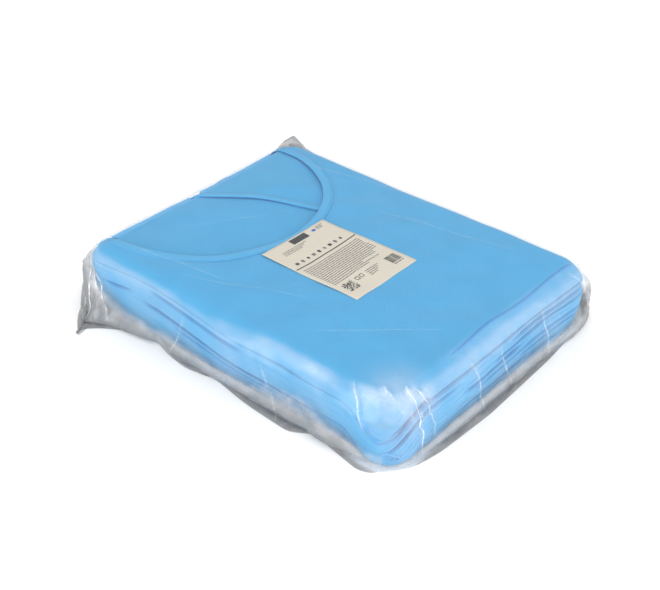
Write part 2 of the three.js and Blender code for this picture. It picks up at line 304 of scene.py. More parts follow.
def settle(points):
    """Moves points of the flat, square stack to where they lie in the settled one."""
    x, y, z = np.asarray(points, float).T
    share = np.clip(z / STACK_TOP, 0, 1)
    belly = np.sin(math.pi * share)
    distance, nx, ny = outline_distance(x, y)
    near_edge = smooth(distance, -22, 0)
    long_front = smooth(-y, 60, 115)
    sag = -TILT * np.sin(math.pi * x / TILT_SPAN) * belly ** 0.7 * long_front
    sag = sag + 1.1 * height_waves(x, y) * belly
    level = np.clip((z + sag) / STACK_TOP, 0.0, None)
    gather = around(x, y, GATHER_AT, GATHER_SIZE)
    inside = np.minimum(level, 1.0)
    level = np.where(level < 1, inside ** (1 + GATHER_POWER * gather), level)
    top = smooth(share, 0.7, 1.0)
    soft = 0.9 * top_waves(x, y) + 0.25 * dimple_waves(x, y)
    rim = smooth(-distance, 0, 70)
    new_z = level * STACK_TOP + top * (soft - 1.6 * (1 - rim))
    new_z = np.maximum(new_z, np.minimum(z, LOWEST))
    front = smooth(-ny, 0.3, 0.95)
    bulge = BELLY * belly * (0.8 + 0.5 * belly_waves(x, y))
    bulge = bulge - BASE_PINCH * front * (1 - share) ** 2.5
    bulge = bulge - 1.5 * (1 - front) * (1 - share) ** 3
    return np.stack([x + nx * bulge * near_edge, y + ny * bulge * near_edge, new_z], axis=1)


# ---- Materials ----


PAINTED_CREVICE_SHADE = (0.01, 0.27, 0.62)  # painted shade for cloth inside a fold, a deep saturated blue
PAINTED_DEEP_SHADE = (0.012, 0.14, 0.36)  # painted shade for cloth where a fold is deepest


def node(tree, kind, numbered=None, **values):
    """A shader node. Names that start with a capital are inputs, and the others are settings.

    An input is given a value, a socket to link, or a node whose first output is linked.
    """
    made = tree.nodes.new("ShaderNode" + kind)
    inputs = dict(numbered or {})
    for name, value in values.items():
        if name[0].isupper():
            inputs[name.replace("_", " ")] = value
        else:
            setattr(made, name, value)
    for name, value in inputs.items():
        source = value.outputs[0] if isinstance(value, bpy.types.Node) else value
        if isinstance(source, bpy.types.NodeSocket):
            tree.links.new(source, made.inputs[name])
        else:
            made.inputs[name].default_value = source
    return made


def mix_colours(tree, share, first, second):
    """A mix of two colours, each given as red, green and blue or as a socket."""
    colours = [c if isinstance(c, bpy.types.NodeSocket) else (*c, 1) for c in (first, second)]
    mixed = node(tree, "Mix", {0: share, 6: colours[0], 7: colours[1]}, data_type="RGBA")
    return mixed.outputs[2]


def new_material(name):
    """An empty material, with its node tree and the object's own coordinates."""
    material = bpy.data.materials.new(name)
    material.use_nodes = True
    tree = material.node_tree
    tree.nodes.clear()
    return material, tree, node(tree, "TexCoord").outputs["Object"]


def cloth_material(name, colour, deep, dot_size=0.0011, strength=0.16):
    """Spun-bonded cloth: tiny bonded dots in loose fibres, in a slightly cloudy colour, with
    painted shade in its folds where its mesh asks for it.
    """
    material, tree, place = new_material(name)
    clouds = node(tree, "TexNoise", Vector=place, Scale=38.0, Detail=4.0, Roughness=0.55)
    fibres = node(tree, "TexNoise", Vector=place, Scale=900.0, Detail=3.0, Roughness=0.7)
    dots = node(tree, "TexVoronoi", Vector=place, Scale=1 / dot_size, Randomness=0.25)
    cloudy = node(tree, "MapRange", Value=clouds, From_Min=0.3, From_Max=0.62)
    tone = mix_colours(tree, cloudy, deep, colour)
    # Painted shade: values up to 1 darken the cloth to a deep blue, and values past 1 darken it
    # further.
    inside = node(tree, "Attribute", attribute_name="crevice_painted_shade").outputs["Fac"]
    shade = mix_colours(tree, inside, tone, PAINTED_CREVICE_SHADE)
    deepest_painted_shade = node(tree, "Math", {0: inside, 1: 1.0}, operation="SUBTRACT", use_clamp=True)
    shade = mix_colours(tree, deepest_painted_shade, shade, PAINTED_DEEP_SHADE)
    press = node(tree, "MapRange", Value=dots, From_Min=0.15, From_Max=0.45)
    height = node(tree, "Math", {0: press, 1: fibres}, operation="ADD")
    bump = node(tree, "Bump", Height=height, Strength=strength, Distance=0.0002)
    rough = node(tree, "MapRange", Value=fibres, To_Min=0.62, To_Max=0.85)
    shader = node(tree, "BsdfPrincipled", Base_Color=shade, Roughness=rough, Normal=bump,
                  Sheen_Weight=0.10, Sheen_Roughness=0.5, Specular_IOR_Level=0.25)
    node(tree, "OutputMaterial", Surface=shader)
    return material


def film_material(name, most_haze, white, grey):
    """Thin soft film: clear, with a haze where its mesh asks for one, which also carries painted
    highlights in white and painted shade in grey.
    """
    material, tree, place = new_material(name)
    haze_and_painted_light = node(tree, "Attribute", attribute_name="haze_and_painted_light").outputs["Fac"]
    painted_grey_shade = node(tree, "Attribute", attribute_name="painted_grey_shade").outputs["Fac"]
    streaks = node(tree, "TexNoise", Vector=place, Scale=70.0, Detail=6.0, Roughness=0.65)
    vary = node(tree, "MapRange", Value=streaks, From_Min=0.32, From_Max=0.68,
                To_Min=0.75 * most_haze, To_Max=1.2 * most_haze)
    haze = node(tree, "Math", {0: haze_and_painted_light, 1: vary}, operation="MULTIPLY", use_clamp=True)
    fine = node(tree, "TexNoise", Vector=place, Scale=240.0, Detail=3.0)
    bump = node(tree, "Bump", Height=fine, Strength=0.25, Distance=0.0005)
    # The haze's colour runs from white, for painted highlights, to grey, for painted shade where
    # the film stands off the stack.
    tone = mix_colours(tree, painted_grey_shade, white, grey)
    painted_light_haze = node(tree, "BsdfPrincipled", Base_Color=tone, Roughness=0.45, Normal=bump)
    sheet = node(tree, "MixShader", {0: haze, 1: node(tree, "BsdfTransparent"), 2: painted_light_haze})
    gloss = node(tree, "BsdfGlossy", Roughness=0.24, Normal=bump)
    facing = node(tree, "LayerWeight", Blend=0.5).outputs["Facing"]
    steep = node(tree, "Math", {0: facing, 1: 4.0}, operation="POWER")
    mirror = node(tree, "Math", {0: steep, 1: 0.17, 2: 0.03}, operation="MULTIPLY_ADD")
    surface = node(tree, "MixShader", {0: mirror, 1: sheet, 2: gloss})
    node(tree, "OutputMaterial", Surface=surface)
    return material


def paper_material(name, colour, roughness=0.6):
    material, tree, place = new_material(name)
    grain = node(tree, "TexNoise", Vector=place, Scale=700.0, Detail=4.0)
    tone = mix_colours(tree, grain, [0.95 * c for c in colour], colour)
    bump = node(tree, "Bump", Height=grain, Strength=0.06, Distance=0.0001)
    shader = node(tree, "BsdfPrincipled", Base_Color=tone, Roughness=roughness, Normal=bump)
    node(tree, "OutputMaterial", Surface=shader)
    return material


CLOTH = cloth_material("spunbond cloth", (0.056, 0.335, 0.61), (0.050, 0.315, 0.58))
BINDING = cloth_material("bias binding", (0.070, 0.358, 0.635), (0.062, 0.338, 0.61), 0.0009, 0.22)
TIE = cloth_material("tie cloth", (0.13, 0.44, 0.76), (0.10, 0.38, 0.70), 0.0009, 0.22)
CUFF = cloth_material("knitted cuff", (0.74, 0.79, 0.84), (0.66, 0.71, 0.78), 0.0016, 0.5)
# white haze carries painted highlights, and the grey one painted shade
FILM = film_material("bag film", 0.78, (0.95, 0.96, 0.98), (0.23, 0.235, 0.24))
PAPER = paper_material("label paper", (0.60, 0.555, 0.465))
BLACK_INK = paper_material("black ink", (0.012, 0.015, 0.02), 0.5)
GREY_INK = paper_material("grey ink", (0.12, 0.12, 0.125), 0.5)
BLUE_INK = paper_material("blue ink", (0.01, 0.10, 0.50), 0.5)

# ---- The folded coats below the top one ----

# Where two plies stand apart: the gap's number from the floor up, its side, its ends along that
# side, and how far it opens.
CREVICES = [
    (4, "front", -90, 75, 1.0), (4, "front", 60, 140, 0.35), (3, "front", -60, 50, 0.55),
    (7, "front", -80, 14, 0.5), (2, "front", -30, 64, 0.35), (5, "front", -134, -112, 0.7),
    (5, "end", -40, 26, 1.1), (8, "end", -124, 118, 0.75), (7, "end", -124, -60, 0.5),
    (2, "end", -60, 40, 0.8), (6, "end", -4, 112, 0.7), (4, "end", -30, 112, 0.5),
    (3, "end", 30, 108, 0.65), (7, "end", 20, 112, 0.7), (1, "end", -20, 80, 0.35),
]
CREVICE_DEPTH = 10.0
# How far each side's gaps open elsewhere, and how unevenly its plies end
RESTING_GAP = {"front": 0.0, "end": 0.03, "back": 0.10, "neck": 0.20}
PLY_SPREAD = {"front": 0.10, "end": 0.55, "back": 0.6, "neck": 1.3}
PLY_RIDGE = 0.45  # how far the edge of each ply in a coat stands out
PLIES_IN_COAT = 4
PLY_EASE = 0.14  # how far a coat's faces stand past its CAD solid, so that coats touch
PLY_INSET = 0.8
SIDE_STEPS = 18
MOUTH_HALF = 88  # half of the open width at the neck end
MOUTH_STEPS = 5  # steps of the side above and below the mouth
WRAP_INSET = 3.2  # how far the plies under the top coat's wrap stay in

gap_waves = waves(21, 60)


def sides(nx, ny):
    """How much a point of the outline belongs to each side."""
    return {"front": smooth(-ny, 0.3, 0.9), "back": smooth(ny, 0.3, 0.9),
            "end": smooth(nx, 0.3, 0.9), "neck": smooth(-nx, 0.3, 0.9)}


def opening(gap, x, y, nx, ny):
    """How far the gap between two coats opens round the outline, from 0 to 1."""
    belongs = sides(nx, ny)
    total = sum(RESTING_GAP[side] * share for side, share in belongs.items())
    total = total * (0.8 + 0.6 * gap_waves(x + 37 * gap, y))
    for number, side, start, end, strength in CREVICES:
        if number == gap:
            along = x if side == "front" else y
            span = smooth(along, start - 12, start + 14) * (1 - smooth(along, end - 14, end + 12))
            total = total + strength * span * belongs[side]
    return np.clip(total, 0.012, 1.1)


def open_shape(t):
    """How much of an opened gap's depth a ply's edge gives at a share of its thickness."""
    wide = max(0.0, (t - 0.5) / 0.5) ** 2
    slot = max(0.0, (t - 0.62) / 0.38) ** 0.8
    return 0.3 * wide + 0.7 * slot


def cap_rings(height):
    """Rings of a coat's flat face, from the middle out."""
    rings = [inner_rectangle()] + [outline(-inset)[0] for inset in (CORNER_INSET, 14, 9)]
    return [at_height(ring, height) for ring in rings]


def coat_body(number):
    """One folded coat: a wrap of cloth round its sleeves, open at the neck end."""
    place = COAT_COUNT - number
    low, high = COAT_LEVELS[place] + np.array([-PLY_EASE, PLY_EASE])
    low = max(low, 0.35)
    base, normals = outline(0.0)
    x, y = base.T
    nx, ny = normals.T
    spread = sum(PLY_SPREAD[side] * share for side, share in sides(nx, ny).items())
    edge, fray = waves(100 + number, 70), waves(200 + number, 16)
    own = spread * (0.75 * edge(x, y) + 0.2 * fray(x, y))
    below, above = opening(place, x, y, nx, ny), opening(place + 1, x, y, nx, ny)
    inset = WRAP_INSET if number == 2 else 0.0
    rings = cap_rings(low)
    caps = len(rings)
    painted_shade_depths = [0.0] * (caps * RING_SIZE)
    for step in range(SIDE_STEPS + 1):
        t = step / SIDE_STEPS
        pull = below * open_shape(1 - t) + above * open_shape(t)
        ridge = PLY_RIDGE * (spread / 1.5) * abs(math.sin(math.pi * PLIES_IN_COAT * t)) ** 0.6
        out = own - CREVICE_DEPTH * pull + ridge - inset - PLY_INSET
        rings.append(at_height(base + normals * out[:, None], low + (high - low) * t))
        # Painted shade: each side ring darkens as the gaps beside it open. The flat upper face,
        # under the next coat, gets the full painted shade.
        painted_shade_depths += list(smooth(pull, 0.06, 0.4) + smooth(pull, 0.3, 0.8))
    painted_shade_depths += [1.0] * (caps * RING_SIZE)
    rings += cap_rings(high)[::-1]
    mouth = (nx < -0.99) & (np.abs(y) < MOUTH_HALF)
    mouth_rings = range(caps + MOUTH_STEPS, caps + SIDE_STEPS - MOUTH_STEPS)
    faces = []
    for face in ring_faces(len(rings)):
        ring, i = divmod(face[0], RING_SIZE)
        if not (ring in mouth_rings and mouth[i] and mouth[(i + 1) % RING_SIZE]):
            faces.append(face)
    last = (len(rings) - 1) * RING_SIZE
    faces += [list(range(RING_SIZE))[::-1], list(range(last, last + RING_SIZE))]
    points = settle(np.concatenate(rings))
    piece = add_mesh(f"coat_{number:02d}_wrap", points, faces, CLOTH)
    set_values(piece, "crevice_painted_shade", painted_shade_depths)
    thicken(piece, 0.8, -1.0)
    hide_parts(f"coat_{number:02d}_body")


# ---- Folded pieces inside the coats ----

INNER_STEPS = 24
SLEEVE_TAPER = 18.0
LEAST_WIDTH = 0.01  # in metres, of a sheet's flat size


def soft_slab(name, cad_node, material, rounded=0.35, ribs=0):
    """A flattened sleeve, cuff or tie inside a coat, with rolled edges, where its solid is."""
    low, high = cad(cad_node)
    across = 10 if high[1] - low[1] < 20 else 16
    along = INNER_STEPS
    if high[0] - low[0] < high[1] - low[1]:
        along, across = across, INNER_STEPS
    taper = SLEEVE_TAPER if "sleeve" in name else 0.0
    side = np.sign(low[1] + high[1]) if abs(low[1] + high[1]) > 2 else 0.0
    ripple = waves(sum(map(ord, name)), 45)
    points, faces = [], []
    for face in (0, 1):
        for a in range(along + 1):
            for b in range(across + 1):
                u, v = a / along, b / across
                x = low[0] + (high[0] - low[0]) * u
                near = low[1] + (taper * u if side < 0 else 0.0)
                far = high[1] - (taper * u if side > 0 else 0.0)
                y = near + (far - near) * v
                rim = min(u * along, (1 - u) * along, v * across, (1 - v) * across, 1.0)
                half = (high[2] - low[2]) / 2 * (0.35 + 0.65 * rim ** rounded)
                if ribs:
                    half *= 0.75 + 0.25 * math.sin(v * ribs * math.pi) ** 2
                middle = (high[2] + low[2]) / 2 + 0.12 * ripple(x, y)
                points.append((x, y, middle + half * (2 * face - 1)))
    size = (along + 1) * (across + 1)
    for a in range(along):
        for b in range(across):
            i = a * (across + 1) + b
            j = i + across + 1
            faces.append((i, i + 1, j + 1, j))
            faces.append((size + i, size + j, size + j + 1, size + i + 1))
    rim_path = [a * (across + 1) for a in range(along + 1)]
    rim_path += [along * (across + 1) + b for b in range(1, across + 1)]
    rim_path += [a * (across + 1) + across for a in range(along - 1, -1, -1)]
    rim_path += [b for b in range(across - 1, 0, -1)]
    for i, j in zip(rim_path, rim_path[1:] + rim_path[:1]):
        faces.append((i, j, size + j, size + i))
    piece = add_mesh(name, settle(points), faces, material)
    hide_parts(cad_node)
    width, length = (float(size) for size in (high[:2] - low[:2])[::-1] * MM)
    width = max(width, LEAST_WIDTH)


# ---- The top coat ----

ROLL = SHOULDER - (STACK_TOP - FRONT_Z)  # radius of the front panel's roll over the shoulder
HEM_Z = 47.2  # the lower edge of the top coat's wrap
HOOK = 1.0  # radius of the turn at that edge
TUCK = 7.0  # how far the cloth runs back in under the edge
ROLL_STEPS = 16
HOOK_STEPS = 6


def drape_path():
    """Distance along the cloth from the start of the shoulder, its reach outwards and height."""
    places = [(-300.0, -300.0, FRONT_Z), (0.0, 0.0, FRONT_Z)]
    run = 0.0
    for step in range(1, ROLL_STEPS + 1):
        angle = step / ROLL_STEPS * math.pi / 2
        run = ROLL * angle
        places.append((run, ROLL * math.sin(angle), FRONT_Z - ROLL * (1 - math.cos(angle))))
    run += FRONT_Z - ROLL - HEM_Z - HOOK
    places.append((run, ROLL, HEM_Z + HOOK))
    for step in range(1, HOOK_STEPS + 1):
        angle = step / HOOK_STEPS * math.pi / 2
        reach, height = ROLL - HOOK * (1 - math.cos(angle)), HEM_Z + HOOK * (1 - math.sin(angle))
        places.append((run + HOOK * angle, reach, height))
    run += HOOK * math.pi / 2
    places.append((run + TUCK, ROLL - HOOK - TUCK, HEM_Z))
    return np.array(places)


PATH = drape_path()
HEM_RUN = PATH[-2, 0]
TUCK_RUN = PATH[-1, 0]
PATH_SLOPE = np.gradient(PATH[:, 1], PATH[:, 0]), np.gradient(PATH[:, 2], PATH[:, 0])


def drape(flat, lift=0.0):
    """Lays flat plan points over the stack's shoulder. lift raises them off the front panel."""
    u, v = np.asarray(flat, float).T
    distance, nx, ny = outline_distance(u, v, -SHOULDER)
    past = np.maximum(distance, 0)
    on_top = distance <= 0
    outward, height = (np.interp(past, PATH[:, 0], PATH[:, k]) for k in (1, 2))
    run_out, run_up = (np.interp(past, PATH[:, 0], slope) for slope in PATH_SLOPE)
    run_out, run_up = np.where(on_top, 1.0, run_out), np.where(on_top, 0.0, run_up)
    size = np.hypot(run_out, run_up)
    back = past - (outward - run_up / size * lift)
    height = height + run_out / size * lift
    x, y = np.where(on_top, u, u - nx * back), np.where(on_top, v, v - ny * back)
    return np.stack([x, y, height], axis=1)


def neck_distance(u, v):
    """How far a flat point lies outside the neck opening, which runs out past the coat's end."""
    ellipse = np.hypot((u - NECK_X) / NECK_DEPTH, v / NECK_HALF)
    return np.where(u > NECK_X, (ellipse - 1) * NECK_HALF, np.abs(v) - NECK_HALF)


TRIM_REACH = 6  # the level within which a border point is moved
TRIM_STEP = 0.05


def trim(points, faces, level):
    """Keeps the faces where level is negative, and moves their ragged border onto level zero."""
    middles = np.array([points[list(f)].mean(0) for f in faces])
    kept = [f for f, value in zip(faces, level(*middles.T)) if value < 0]
    uses = {}
    for f in kept:
        for a, b in zip(f, f[1:] + f[:1]):
            uses[frozenset((a, b))] = uses.get(frozenset((a, b)), 0) + 1
    border = sorted({i for edge, count in uses.items() if count == 1 for i in edge})
    points = points.copy()
    u, v = points[border].T
    near = np.abs(level(u, v)) < TRIM_REACH
    for _ in range(4):
        value = level(u, v)
        du = (level(u + TRIM_STEP, v) - level(u - TRIM_STEP, v)) / (2 * TRIM_STEP)
        dv = (level(u, v + TRIM_STEP) - level(u, v - TRIM_STEP)) / (2 * TRIM_STEP)
        size = np.maximum(du ** 2 + dv ** 2, 1e-6)
        u = np.where(near, u - value * du / size, u)
        v = np.where(near, v - value * dv / size, v)
    points[border] = np.column_stack([u, v])
    used = sorted({i for f in kept for i in f})
    renumber = {old: new for new, old in enumerate(used)}
    return points[used], [tuple(renumber[i] for i in f) for f in kept]


def flat_rings():
    """Rings of the top coat's cloth, in its flat coordinates, from the tucked hem inwards."""
    base, normals = outline(-SHOULDER)
    runs = [TUCK_RUN, TUCK_RUN - TUCK / 2, HEM_RUN, HEM_RUN - 0.8, HEM_RUN - 1.6, HEM_RUN - 2.6]
    runs += list(np.linspace(HEM_RUN - 4.5, 0.0, 13)) + [-3.0, -6.5]
    shares = (0.1, 0.22, 0.35, 0.48, 0.61, 0.74, 0.87, 1.0)
    return [base + normals * run for run in runs] + inward_rings(outline(-CORNER_INSET)[0], shares)


HEM_LINE_X = 152.0  # where the turned-up hem shows through the front panel
PLEATS_AT = (149.0, -111.0)
hem_waves = waves(31, 90)
corner_waves = waves(32, 26)

# Long soft creases across the top coat, as the two ends of each and its depth
TOP_CREASES = [
    ((70, -108), (132, -62), 0.8), ((20, -60), (128, -78), 0.6), ((-36, -108), (36, -92), 0.6),
    ((-20, 64), (118, 44), 0.55), ((-60, 110), (60, 84), 0.6), ((84, 110), (136, 20), 0.5),
    ((60, 10), (140, -20), 0.45), ((-128, -108), (-60, -92), 0.6), ((30, 100), (10, 30), 0.4),
]
CREASE_WIDTH = 3.6
DIP_AT, DIP_WIDTH, DIP_DEPTH = 19, 1.6, 2.6  # a pocket round the front corner's shoulder


def panel_relief(u, v):
    """The soft creases of the front panel, as heights along its normal, and its pocket, which also
    gets painted shade.
    """
    line_x = HEM_LINE_X + 1.2 * hem_waves(v, 3.0)
    fading = smooth(v, -70, -20) * (1 - smooth(v, 118, 135))
    seam = -0.4 * np.exp(-((u - line_x) / 2.0) ** 2)
    along = (u - PLEATS_AT[0]) * 0.7 + (v - PLEATS_AT[1]) * 0.7
    corner = smooth(along, -26, 0) * smooth(-v, 88, 118) * smooth(u, 110, 140)
    pleats = 0.8 * corner_waves(u * 1.4, v * 1.4) * corner
    distance = outline_distance(u, v, -SHOULDER)[0]
    dip = np.exp(-((distance - DIP_AT - 1.5 * hem_waves(u, v)) / DIP_WIDTH) ** 2)
    dip = dip * smooth(u, 132, 142) * smooth(-v, 84, 96)
    slack = 0.5 * hem_waves(u * 0.8, v * 2.0) * smooth(distance, 4, 26)
    creased = 0.0
    for (u0, v0), (u1, v1), depth in TOP_CREASES:
        run_u, run_v = u1 - u0, v1 - v0
        t = np.clip(((u - u0) * run_u + (v - v0) * run_v) / (run_u ** 2 + run_v ** 2), 0, 1)
        off = np.hypot(u - u0 - t * run_u, v - v0 - t * run_v + 3 * np.sin(3 * t))
        creased = creased - depth * np.exp(-(off / CREASE_WIDTH) ** 2) * np.sin(math.pi * t)
    return seam * fading + pleats - DIP_DEPTH * dip + slack + creased, dip


def front_panel():
    flat, faces = trim(*plan_sheet(flat_rings()), lambda u, v: -neck_distance(u, v))
    lift, dip = panel_relief(*flat.T)
    piece = add_mesh("coat_01_front", settle(drape(flat, lift)), faces, CLOTH)
    # painted shade darkens the pocket round the front corner's shoulder
    set_values(piece, "crevice_painted_shade", 1.5 * dip)
    thicken(piece, 1.0)
    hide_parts("coat_01_front_panel")


edge_ripple = waves(33, 75, 4)


def edge_waves(u):
    return 1.6 * edge_ripple(u, 0.0)


def diagonal_distance(u, v):
    """How far a flat point lies on the left (+Y) side of the upper back panel's edge."""
    across = -u * math.sin(DIAGONAL_ANGLE) + v * math.cos(DIAGONAL_ANGLE)
    return across - DIAGONAL_OFFSET - edge_waves(u)


def back_panel(name, lift, side, lap, cad_node):
    """A back panel of the top coat, under its front panel, on one side of the slanted edge."""
    flat, faces = plan_sheet(flat_rings())

    def level(u, v):
        over_edge = (u < -100) & (np.abs(v) < NECK_HALF + 3)
        rim = outline_distance(u, v, -SHOULDER)[0] - np.where(over_edge, HEM_RUN - 6, -4.0)
        return np.maximum(rim, -side * diagonal_distance(u, v) - lap)

    flat, faces = trim(flat, faces, level)
    sag = 0.35 * hem_waves(flat[:, 0], flat[:, 1] * 1.3) + lift
    piece = add_mesh(name, settle(drape(flat, sag)), faces, CLOTH)
    thicken(piece, 0.8)
    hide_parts(cad_node)


def swept_band(name, path, inward, width, thick, lift, material, overhang=0.0):
    """A flat bound edge: its edge line in flat coordinates, and the way its width runs."""
    section = [(-overhang, 0.0), (-overhang * 0.7, 0.55), (0.4, 0.9), (1.4, 1.0),
               (width * 0.35, 0.92), (width * 0.66, 0.98), (width - 1.9, 0.72),
               (width - 1.5, 0.45), (width - 1.1, 0.78), (width - 0.3, 0.62), (width, 0.2),
               (width * 0.9, -0.15), (width * 0.5, -0.2), (0.6, -0.3)]
    pucker = waves(sum(map(ord, name)), 9)
    sway = waves(sum(map(ord, name)) + 1, 80)
    flat, lifts = [], []
    count = len(path)
    for k in range(count):
        stretch = 0.35 * float(sway(k * 3.0))
        for across, height in section:
            flat.append(path[k] + inward[k] * (across + stretch))
            lifts.append(lift + thick * height * (1 + 0.12 * float(pucker(k * 3.0, across))))
    points = settle(drape(np.array(flat), np.array(lifts)))
    size = len(section)
    faces = strip_faces(count, size, closed=True)
    faces.append(list(range(size)))
    faces.append([(count - 1) * size + i for i in range(size)][::-1])
    return add_mesh(name, points, faces, material)


def stitches(name, path, inward, offset, lift, length=2.4, pitch=3.4, half=0.22):
    """A row of machine stitches along a band: small raised thread bars."""
    steps = np.concatenate([[0], np.cumsum(np.linalg.norm(np.diff(path, axis=0), axis=1))])
    flat, lifts, faces = [], [], []
    start = pitch
    while start + length < steps[-1] - pitch:
        at = []
        for run in (start, start + length / 2, start + length):
            point, away = (np.array([np.interp(run, steps, values[:, k]) for k in (0, 1)])
                           for values in (path, inward))
            at.append((point + away * offset, away / np.linalg.norm(away)))
        first = len(flat)
        for k, (point, away) in enumerate(at):
            swell = (0.1, 1.0, 0.1)[k]
            for side, rise in ((-half, 0.0), (0.0, 1.0), (half, 0.0), (0.0, -0.6)):
                flat.append(point + away * side)
                lifts.append(lift + (0.30 * swell + 0.05) * rise)
        for k in range(2):
            for i in range(4):
                j = (i + 1) % 4
                a, b = first + 4 * k, first + 4 * (k + 1)
                faces.append((a + i, b + i, b + j, a + j))
        faces.append((first, first + 1, first + 2, first + 3))
        faces.append((first + 11, first + 10, first + 9, first + 8))
        start += pitch
    return add_mesh(name, settle(drape(np.array(flat), np.array(lifts))), faces, BINDING)


def neck_path():
    """The neck opening's edge, from the right end round to the left, with its outward way."""
    path, away = [], []
    end_run = NECK_X + SHOULDER - HALF_X - 14.0  # over the rolled end of the stack
    for u in np.linspace(NECK_X + end_run, NECK_X, 14)[:-1]:
        path.append((u, -NECK_HALF))
        away.append((0.0, -1.0))
    for step in range(101):
        angle = (step / 100 - 0.5) * math.pi
        path.append((NECK_X + NECK_DEPTH * math.cos(angle), NECK_HALF * math.sin(angle)))
        normal = np.array([math.cos(angle) / NECK_DEPTH, math.sin(angle) / NECK_HALF])
        away.append(tuple(normal / np.linalg.norm(normal)))
    for u in np.linspace(NECK_X, NECK_X + end_run, 14)[1:]:
        path.append((u, NECK_HALF))
        away.append((0.0, 1.0))
    return np.array(path), np.array(away)


def diagonal_path():
    """The upper back panel's slanted edge, from the neck end to just under the front panel."""
    path, away = [], []
    for u in np.arange(-178.0, -20.0, 3.0):
        across = DIAGONAL_OFFSET + edge_waves(u) + u * math.sin(DIAGONAL_ANGLE)
        v = across / math.cos(DIAGONAL_ANGLE)
        if neck_distance(np.array(u), np.array(v)) > BINDING_WIDTH - 2:
            break
        path.append((u, v))
        away.append((-math.sin(DIAGONAL_ANGLE), math.cos(DIAGONAL_ANGLE)))
    return np.array(path, float), np.array(away, float)


def back_neck_path():
    """The bound neck edge of the lower back panel, along the coat's end."""
    path = [(-152.5 + 0.8 * float(edge_ripple(v, 9.0)), v) for v in np.arange(-98.0, 4.0, 3.0)]
    return np.array(path), np.tile([-1.0, 0.0], (len(path), 1))


HEM_EDGE_RUNS = [0.0, 0.5, 1.2]  # the rows of points along the hem's edge
# painted shade along the hem's edge, where it steps over the front panel
HEM_EDGE_PAINTED_SHADE = 1.5


def hem_layer():
    """The turned-up hem of the top coat: one more layer over the folded end's shoulder."""
    places = np.arange(-72.0, 121.0, 3.0)
    runs = np.concatenate([HEM_EDGE_RUNS, np.linspace(3.0, HEM_RUN - 4.0, 12)])
    flat, lifts, dark = [], [], []
    for v in places:
        edge = HEM_LINE_X + 1.0 * float(hem_waves(v, 3.0)) - (HALF_X - SHOULDER)
        shows = float(smooth(v, -72, -30) * (1 - smooth(v, 112, 121)))
        for run in runs:
            at_edge = run <= HEM_EDGE_RUNS[-1]
            flat.append((HALF_X - SHOULDER + edge + (HEM_RUN - edge) * run / runs[-1], v))
            rise = 0.15 if run == 0.0 else 0.8 if at_edge else 0.6
            lifts.append(rise * shows - 0.3)
            # painted shade on the rows along the hem's edge
            dark.append(shows * (HEM_EDGE_PAINTED_SHADE if at_edge else 0.0))
    points = settle(drape(np.array(flat), np.array(lifts)))
    faces = strip_faces(len(places), len(runs))
    piece = add_mesh("coat_01_turned_hem", points, faces, CLOTH)
    set_values(piece, "crevice_painted_shade", dark)
    thicken(piece, 0.5)


TIE_END_WIDTH = 10.0
CURL_AT = (158.0, -118.3, 8.5)
CURL_SIZE = 4.6
CURL_START, CURL_TURN = 150, 620  # in degrees
CURL_STEPS = 60


def tie_end():
    """The end of a waist tie that curls out at the front corner, low in the stack."""
    line = []
    for step in range(CURL_STEPS):
        t = step / (CURL_STEPS - 1)
        turn = math.radians(CURL_START - CURL_TURN * t)
        size = CURL_SIZE * (1 - 0.6 * t)
        sideways = size * math.cos(turn) + 9.0 * (t - 0.6)
        line.append((CURL_AT[0] + 0.76 * sideways, CURL_AT[1] + 0.65 * sideways,
                     CURL_AT[2] + 0.8 * size * math.sin(turn)))
    line = np.array(line)
    across = np.array([0.62, -0.74, 0.12]) * TIE_END_WIDTH / 2
    points = np.concatenate([line - across, line, line + across])
    piece = add_mesh("waist_tie_end", points, strip_faces(3, CURL_STEPS), TIE)
    thicken(piece, 0.7)
    subdivide(piece)


def bound_edge(name, line, width, thick, lift, overhang, stitch_offset, stitch_lift):
    """A bound edge of the top coat with its row of stitches. Gives back the binding."""
    path, away = line
    band = swept_band(f"coat_01_{name}_band", path, away, width, thick, lift, BINDING,
                      overhang)
    stitches(f"coat_01_{name}_stitches", path, away, stitch_offset, stitch_lift)
    return band


def top_coat():
    front_panel()
    hem_layer()
    tie_end()
    left, right = LEFT_BACK_Z - FRONT_Z, RIGHT_BACK_Z - FRONT_Z
    back_panel("coat_01_right_back", right, -1, 40.0, "coat_01_right_back_panel")
    back_panel("coat_01_left_back", left, 1, 0.0, "coat_01_left_back_panel")
    neck = bound_edge("neck", neck_path(), BINDING_WIDTH, 1.3, 0.5, 1.0, BINDING_WIDTH - 1.5, 1.15)
    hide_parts("coat_01_neck_binding")
    for name, line, lift in (("back_edge", diagonal_path(), left + 0.4),
                             ("back_neck", back_neck_path(), right + 0.4)):
        band = bound_edge(name, line, 6.0, 1.1, lift, 0.8, 4.5, lift + 0.55)
        if name == "back_edge":
            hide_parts("coat_01_back_edge_binding")


# ---- The label ----

PRINT_LIFT = 0.12
LABEL_THICKNESS = 0.16
LABEL_MIDDLE = (LABEL_LOW + LABEL_HIGH) / 2


def label_surface(x, y):
    """The height of the label's top, which rises a little over the neck binding."""
    rise = 1.0 * np.exp(-np.maximum(x - LABEL_LOW[0], 0) / 16.0)
    return STACK_TOP - 0.75 + rise + 0.2 * hem_waves(x * 1.5, y)


def on_label(points):
    """Settles points given as x, y and a height above the label."""
    points = np.asarray(points, float)
    height = label_surface(points[:, 0], points[:, 1])
    settled = settle(at_height(points[:, :2], STACK_TOP))
    settled[:, 2] += height - STACK_TOP + points[:, 2]
    return settled


